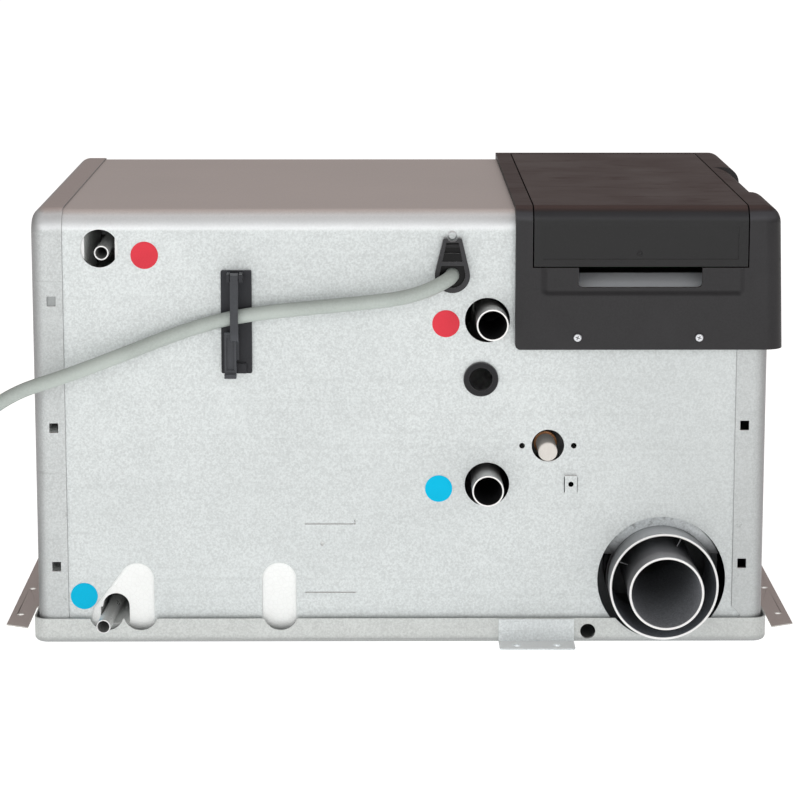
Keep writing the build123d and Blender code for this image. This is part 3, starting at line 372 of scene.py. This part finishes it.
MATS = {
    # galvanised: painted warm light on top, painted highlight along the bend, painted shade behind the left cap's
    # square hole
    "galvanised": galvanised("galvanised", (209, 214, 214), blotch=0.3, top=(224, 213, 209), bend_highlight=(246, 248, 250),
                             marks=(((-0.2445, 0.2390), (-0.2376, 0.2470), 0.0008),)),
    # galvanised_tray: the colour given for the bottom 6 mm is painted shade near the floor
    "galvanised_tray": galvanised("galvanised_tray", (198, 201, 199), 3.3, dirt=0.45, floor_shade=(136, 138, 138)),
    # galvanised_cap: painted warm light on upward faces, painted shade on the rounded sides, painted highlight along
    # the top bend
    "galvanised_cap": galvanised("galvanised_cap", (196, 200, 200), 7.1, dirt=0.75, scratch=0.45, rough=0.36, top=(204, 190, 186), side=(142, 142, 143),
                                 bend_highlight=(232, 234, 236)),
    # bracket_steel and bracket_front: painted light on upward faces
    "bracket_steel": galvanised("bracket_steel", (212, 210, 206), 5.2, dirt=0.4, scratch=0.45, top=(214, 200, 196)),
    "bracket_front": galvanised("bracket_front", (216, 221, 222), 5.8, dirt=0.4, scratch=0.6, top=(250, 250, 250)),
    "shelf_steel": galvanised("shelf_steel", (188, 191, 190), 9.4),
    # cover_plastic: painted warm light on upward faces, painted highlight along the front bend, painted shade on the
    # sides and inside the recess
    "cover_plastic": moulded("cover_plastic", (38, 37, 39), 1.0, rough=0.42, spread=0.18, spec=0.30, top=(67, 47, 44), bend_highlight=(72, 72, 76), side=(16, 16, 17),
                             recess=((0.0985, 0.2495), (0.2350, 0.2690), 0.0028)),
    # lid_plastic: painted warm light on upward faces, painted highlight along the front bend, painted shade on the
    # sides
    "lid_plastic": moulded("lid_plastic", (23, 23, 24), 2.0, rough=0.38, spread=0.18, spec=0.30, top=(69, 47, 43), bend_highlight=(52, 52, 55), side=(16, 16, 17)),
    "pin_steel": metal("pin_steel", (190, 190, 188), 1.0, 0.25),
    "screw_steel": screw("screw_steel", (214, 216, 220), 2.0),
    "blank_plate": moulded("blank_plate", (246, 249, 254), 3.0, rough=0.55, grain=1500.0, relief=0.00001, spread=0.05, wear=0.05),
    "board_green": moulded("board_green", (34, 96, 62), 4.0, rough=0.35, grain=700.0, spread=0.25, wear=0.2),
    "relay_black": moulded("relay_black", (40, 41, 44), 5.0, rough=0.38, grain=900.0),
    "terminal_grey": moulded("terminal_grey", (150, 156, 154), 6.0, rough=0.48),
    "fuse_red": moulded("fuse_red", (196, 34, 30), 7.0, rough=0.22, coat=0.4, spread=0.10),
    "nylon_white": moulded("nylon_white", (228, 228, 220), 8.0, rough=0.5, spread=0.06),
    "sticker_red": moulded("sticker_red", (216, 56, 70), 9.0, rough=0.50, grain=1600.0, relief=0.000008, spread=0.05, wear=0.07, spec=0.18),
    "sticker_blue": moulded("sticker_blue", (0, 182, 222), 10.0, rough=0.50, grain=1600.0, relief=0.000008, spread=0.05, wear=0.03, spec=0.10),
    # strain_black: painted highlights on the rim bevels and on the front-most crest
    "strain_black": moulded("strain_black", (12, 12, 13), 11.0, rough=0.24, grain=500.0, relief=0.00001, coat=0.0, spec=0.16, rim_highlight=(168, 168, 170), crest_highlight=(-0.1732, (58, 58, 60))),
    "cable_grey": moulded("cable_grey", (171, 179, 174), 12.0, rough=0.46, grain=700.0, relief=0.00002, spread=0.07, wear=0.16),
    "core_brown": moulded("core_brown", (112, 64, 36), 13.0, rough=0.35, spread=0.10),
    "core_blue": moulded("core_blue", (40, 96, 180), 14.0, rough=0.35, spread=0.10),
    "core_green": moulded("core_green", (96, 150, 44), 15.0, rough=0.35, spread=0.10),
    # clip_grey, clip_strap and rubber_black: the rim colours are painted highlights on bevels and walls
    "clip_grey": moulded("clip_grey", (43, 44, 48), 16.0, rough=0.38, spread=0.14, spec=0.22, rim_highlight=(96, 98, 102)),
    # clip_strap is a lighter copy of the clip's plastic: painted light on the strap
    "clip_strap": moulded("clip_strap", (62, 64, 68), 16.5, rough=0.36, spread=0.14, spec=0.24, rim_highlight=(110, 113, 118)),
    "rubber_black": moulded("rubber_black", (36, 36, 38), 17.0, rough=0.46, spread=0.16, spec=0.20, rim_highlight=(104, 104, 106)),
    "foam_white": foam("foam_white", (244, 246, 245)),
    "stainless": metal("stainless", (200, 200, 196), 3.0, 0.26, "x"),
    "pipe_steel": metal("pipe_steel", (216, 217, 216), 4.0, 0.24, "y", stain=0.3, metallic=0.65),
    # flue pipes: the second colour is painted shade for the bore
    "alu_flue": flue("alu_flue", (222, 225, 229), (116, 120, 126), 0.0367, 6.0),
    "alu_exhaust": flue("alu_exhaust", (206, 207, 211), (144, 146, 150), 0.02465, 16.0),
    "alu_flow": flue("alu_flow", (228, 229, 229), (52, 52, 54), 0.0101, 26.0, 0.6, (0.0628, 0.2296)),
    "alu_return": flue("alu_return", (228, 229, 229), (52, 52, 54), 0.0101, 36.0, 0.6, (0.0603, 0.1132)),
    "alu_cast": metal("alu_cast", (176, 177, 178), 7.0, 0.48, "none", stain=0.4, relief=0.00006),
    "alu_wheel": metal("alu_wheel", (198, 199, 200), 8.0, 0.32, "none"),
    "ceramic": moulded("ceramic", (236, 230, 214), 18.0, rough=0.30, spread=0.05, coat=0.3),
    "copper": metal("copper", (222, 160, 112), 9.0, 0.36, "y", stain=0.30, metallic=0.7),
    # cap_white: its glow is painted light, an emission in place of light passing through the cap
    "cap_white": moulded("cap_white", (204, 200, 194), 19.0, rough=0.46, grain=800.0, spread=0.05, wear=0.08, spec=0.3, painted_glow=0.12),
    "collar_zinc": collar("collar_zinc", (214, 219, 221), 20.0),
    "duct_grey": moulded("duct_grey", (112, 115, 118), 21.0, rough=0.5),
    "coil_black": moulded("coil_black", (44, 44, 48), 22.0, rough=0.4),
    "steel_dark": metal("steel_dark", (128, 129, 131), 10.0, 0.36, "none", stain=0.5),
}

NODE_MAT = {
    "bottom_tray": "galvanised_tray", "casing_wrap": "galvanised", "left_end_cap": "galvanised_cap", "right_end_cap": "galvanised_cap",
    "front_bracket": "bracket_front", "left_bracket": "bracket_steel", "right_bracket": "bracket_steel",
    "electronics_cover": "cover_plastic", "access_lid": "lid_plastic", "lid_hinge_pins": "pin_steel", "cover_screws": "screw_steel",
    "electronics_shelf": "shelf_steel", "blank_label": "blank_plate", "board_standoffs": "nylon_white", "circuit_board": "board_green",
    "relays": "relay_black", "terminal_block": "terminal_grey", "fuse_holder": "relay_black", "blade_fuses": "fuse_red",
    "hot_stickers": "sticker_red", "cold_stickers": "sticker_blue", "strain_relief": "strain_black",
    "cable_clip_base": "clip_grey", "cable_clip_strap": "clip_strap", "cable_clip_pin": "clip_grey", "rubber_grommet": "rubber_black",
    "water_tank": "stainless", "heating_jacket": "stainless", "combustion_chamber": "stainless", "exhaust_manifold": "alu_cast",
    "burner_plate": "stainless", "burner_tube": "stainless", "ignition_electrode": "ceramic", "fan_housing": "alu_cast",
    "fan_impeller": "alu_wheel", "fan_motor": "steel_dark", "intake_air_box": "duct_grey", "intake_duct": "duct_grey",
    "gas_valve_body": "alu_cast", "solenoid_coils": "coil_black", "solenoid_plunger_a": "steel_dark", "solenoid_plunger_b": "steel_dark",
    "gas_inlet_pipe": "copper", "gas_inlet_cap": "cap_white", "gas_burner_pipe": "copper", "hot_water_pipe": "pipe_steel",
    "cold_water_pipe": "pipe_steel", "heating_flow_pipe": "alu_flow", "heating_return_pipe": "alu_return",
    "flue_exhaust_pipe": "alu_exhaust", "flue_intake_pipe": "alu_flue", "flue_spacers": "steel_dark", "flue_collar": "collar_zinc",
    "immersion_heaters": "stainless", "temperature_sensor": "copper", "insulation_lower": "foam_white", "insulation_upper": "foam_white",
}
BEVEL = {
    "bottom_tray": 0.0004, "casing_wrap": 0.0003, "left_end_cap": 0.0003, "right_end_cap": 0.0003, "electronics_cover": 0.0006,
    "access_lid": 0.0005, "hot_stickers": 0.00008, "cold_stickers": 0.00008, "blank_label": 0.0002, "blade_fuses": 0.0003,
    "lid_hinge_pins": 0.00015, "cable_clip_pin": 0.00015, "flue_exhaust_pipe": 0.0004, "flue_intake_pipe": 0.0003,
    "heating_flow_pipe": 0.0003, "heating_return_pipe": 0.0003, "hot_water_pipe": 0.0002, "cold_water_pipe": 0.0002,
    "insulation_lower": 0.0008, "insulation_upper": 0.0008, "strain_relief": 0.0008, "cable_clip_strap": 0.0004, "cable_clip_base": 0.0004,
}
CORD_NODES = ("mains_cable", "mains_cable_coil", "mains_cable_cores")


def dress(o, mat, bevel):
    o.data.materials.clear()
    o.data.materials.append(mat)
    for p in o.data.polygons:
        p.use_smooth = True
    w = o.modifiers.new("weld", "WELD")
    w.merge_threshold = 0.000002
    if bevel:
        b = o.modifiers.new("edge", "BEVEL")
        b.width = bevel
        b.segments = 2
        b.limit_method = "ANGLE"
        b.angle_limit = math.radians(32)
        b.use_clamp_overlap = True
    n = o.modifiers.new("normals", "WEIGHTED_NORMAL")
    n.keep_sharp = True
    n.weight = 50


for name, o in NODES.items():
    if name in CORD_NODES:
        continue
    dress(o, MATS[NODE_MAT[name]], BEVEL.get(name, 0.00025))

# ------------------------------------------------------------------ mains lead: one free cord of 1.8 m
CORD_MM = [
    (35.5, -167.6, 261.7), (35.0, -175.0, 261.2), (29.4, -181.6, 258.4), (18.6, -184.6, 253.2), (0.0, -183.8, 247.4),
    (-30.0, -179.6, 243.4), (-62.0, -176.4, 239.9), (-93.0, -175.1, 236.6), (-122.0, -174.9, 232.0), (-156.0, -176.6, 221.6),
    (-193.0, -181.4, 207.4), (-232.0, -188.0, 193.6), (-264.0, -190.5, 184.0), (-290.0, -191.0, 166.0), (-304.0, -189.0, 133.0),
    (-309.0, -184.0, 94.0), (-313.0, -177.5, 57.0), (-325.0, -171.0, 29.0), (-345.0, -164.5, 11.0), (-372.0, -158.0, 5.3),
]
COIL_C = (-364.0, -97.0)
LENGTH = 1.8


def between(t, a, b):
    """0 before a, 1 after b, smooth between."""
    u = min(1.0, max(0.0, (t - a) / (b - a)))
    return u * u * (3 - 2 * u)


def coil_point(t):
    """Point of the coil t degrees after its start: two turns outside, then inside them, and the end turned inwards."""
    r = 60.8 - 10.6 * between(t, 590.0, 645.0) - 11.2 * between(t, 1180.0, 1240.0) - 15.0 * between(t, 1240.0, 1420.0)
    z = 5.2 + 10.4 * between(t, 275.0, 352.0) - 10.4 * between(t, 880.0, 950.0)
    a = math.radians(-97.5 - t)
    return (COIL_C[0] + r * math.cos(a), COIL_C[1] + r * math.sin(a), z)


def spline_length(points):
    """Length of the curve that these control points make."""
    out, last = 0.0, None
    for i in range(1, len(points) - 1):
        a = [(p + q) / 2 for p, q in zip(points[i - 1], points[i])] if i > 1 else list(points[0])
        b = [(p + q) / 2 for p, q in zip(points[i], points[i + 1])] if i < len(points) - 2 else list(points[-1])
        for k in range(25):
            u = k / 24
            q = [(1 - u) ** 2 * a[j] + 2 * u * (1 - u) * points[i][j] + u * u * b[j] for j in range(3)]
            if last is not None:
                out += math.dist(q, last)
            last = q
    return out


points = list(CORD_MM)
t, step = 22.5, 22.5
while True:
    more = points + [coil_point(t)]
    if spline_length(more) >= LENGTH * 1000:
        break
    points = more
    t += step
while spline_length(points + [coil_point(t)]) > LENGTH * 1000:
    t -= 1.0
points.append(coil_point(t))
cord_end = Vector(points[-1])
cord_dir = (cord_end - Vector(coil_point(t - 4.0))).normalized()


def cord_curve(name, pts, radius, mat, cyclic=False):
    c = bpy.data.curves.new(name, "CURVE")
    c.dimensions = "3D"
    s = c.splines.new("NURBS")
    s.points.add(len(pts) - 1)
    for p, q in zip(s.points, pts):
        p.co = (q[0] / 1000, q[1] / 1000, q[2] / 1000, 1.0)
    s.order_u = 3
    s.use_endpoint_u = True
    s.resolution_u = 10
    c.bevel_depth = radius
    c.bevel_resolution = 6
    c.use_fill_caps = True
    c.materials.append(mat)
    o = bpy.data.objects.new(name, c)
    scene.collection.objects.link(o)
    return o


lead = cord_curve("mains_lead", points, 0.005, MATS["cable_grey"])
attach(lead, "root")
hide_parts(*CORD_NODES)

# three cores that come out of the sheath, each with a crimped ferrule
side = cord_dir.cross(Vector((0, 0, 1))).normalized()
cores = []
for k, (mat, off) in enumerate((("core_brown", -3.4), ("core_green", 0.0), ("core_blue", 3.4))):
    a = cord_end - cord_dir * 3 + side * off * 0.45
    pts = [a, cord_end + cord_dir * 2 + side * off * 0.6, cord_end + cord_dir * 9 + side * off + Vector((0, 0, -2.2)),
           cord_end + cord_dir * 16 + side * off * 1.1 + Vector((0, 0, -3.3)), cord_end + cord_dir * 22 + side * off * 1.15 + Vector((0, 0, -3.6))]
    core = cord_curve("lead_core_%d" % (k + 1), pts, 0.0012, MATS[mat])
    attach(core, "root")
    fer = cord_curve("lead_ferrule_%d" % (k + 1), [pts[-1] - cord_dir * 0.6, pts[-1] + cord_dir * 3, pts[-1] + cord_dir * 7], 0.0010, MATS["screw_steel"])
    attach(fer, "root")
    cores += [core, fer]

# ------------------------------------------------------------------ floor and light
floor_mesh = bpy.data.meshes.new("floor")
R = 9.0
floor_mesh.from_pydata([(-R, -R, -0.0006), (R, -R, -0.0006), (R, R, -0.0006), (-R, R, -0.0006)], [], [(0, 1, 2, 3)])
floor = bpy.data.objects.new("floor", floor_mesh)
scene.collection.objects.link(floor)
fm = Mat("floor_paper", lin((246, 246, 246)), 0.9, 0.0, spec=0.1)
fm.tint(fm.ramp(fm.noise(3.0, 3.0), 0.4, 0.7, 0.0, 0.4, True), lin((243, 243, 244)))
fm.add_height(fm.noise(260.0, 3.0), 0.00004)
fm.done(0.4)
fm.p.inputs["Emission Color"].default_value = (1.0, 1.0, 1.0, 1.0)
fm.p.inputs["Emission Strength"].default_value = 0.78
floor_mesh.materials.append(fm.m)

world = bpy.data.worlds.new("studio")
scene.world = world
world.use_nodes = True
wn = world.node_tree
wn.nodes.clear()
out = wn.nodes.new("ShaderNodeOutputWorld")
mix = wn.nodes.new("ShaderNodeMixShader")
dim = wn.nodes.new("ShaderNodeBackground")
dim.inputs["Color"].default_value = (1.0, 0.945, 0.925, 1.0)
dim.inputs["Strength"].default_value = 0.30
white = wn.nodes.new("ShaderNodeBackground")
white.inputs["Color"].default_value = (1.0, 1.0, 1.0, 1.0)
white.inputs["Strength"].default_value = 1.0
path = wn.nodes.new("ShaderNodeLightPath")
wn.links.new(path.outputs["Is Camera Ray"], mix.inputs["Fac"])
wn.links.new(dim.outputs["Background"], mix.inputs[1])
wn.links.new(white.outputs["Background"], mix.inputs[2])
wn.links.new(mix.outputs["Shader"], out.inputs["Surface"])


def area(name, loc, target, size, power, colour=(1, 1, 1)):
    d = bpy.data.lights.new(name, "AREA")
    d.shape = "RECTANGLE"
    d.size, d.size_y = size
    d.energy = power
    d.color = colour
    o = bpy.data.objects.new(name, d)
    scene.collection.objects.link(o)
    o.location = loc
    o.rotation_euler = (Vector(target) - Vector(loc)).to_track_quat("-Z", "Y").to_euler()
    return o


area("key", (-0.4, -3.4, 1.15), (0, 0, 0.15), (4.4, 2.6), 54.0, (0.985, 1.0, 0.995))
area("side", (2.6, -1.2, 1.5), (0, 0, 0.15), (1.4, 1.4), 2.5)
area("top", (0.1, 0.6, 2.6), (0, 0, 0.2), (2.2, 1.6), 7.5, (1.0, 0.86, 0.82))
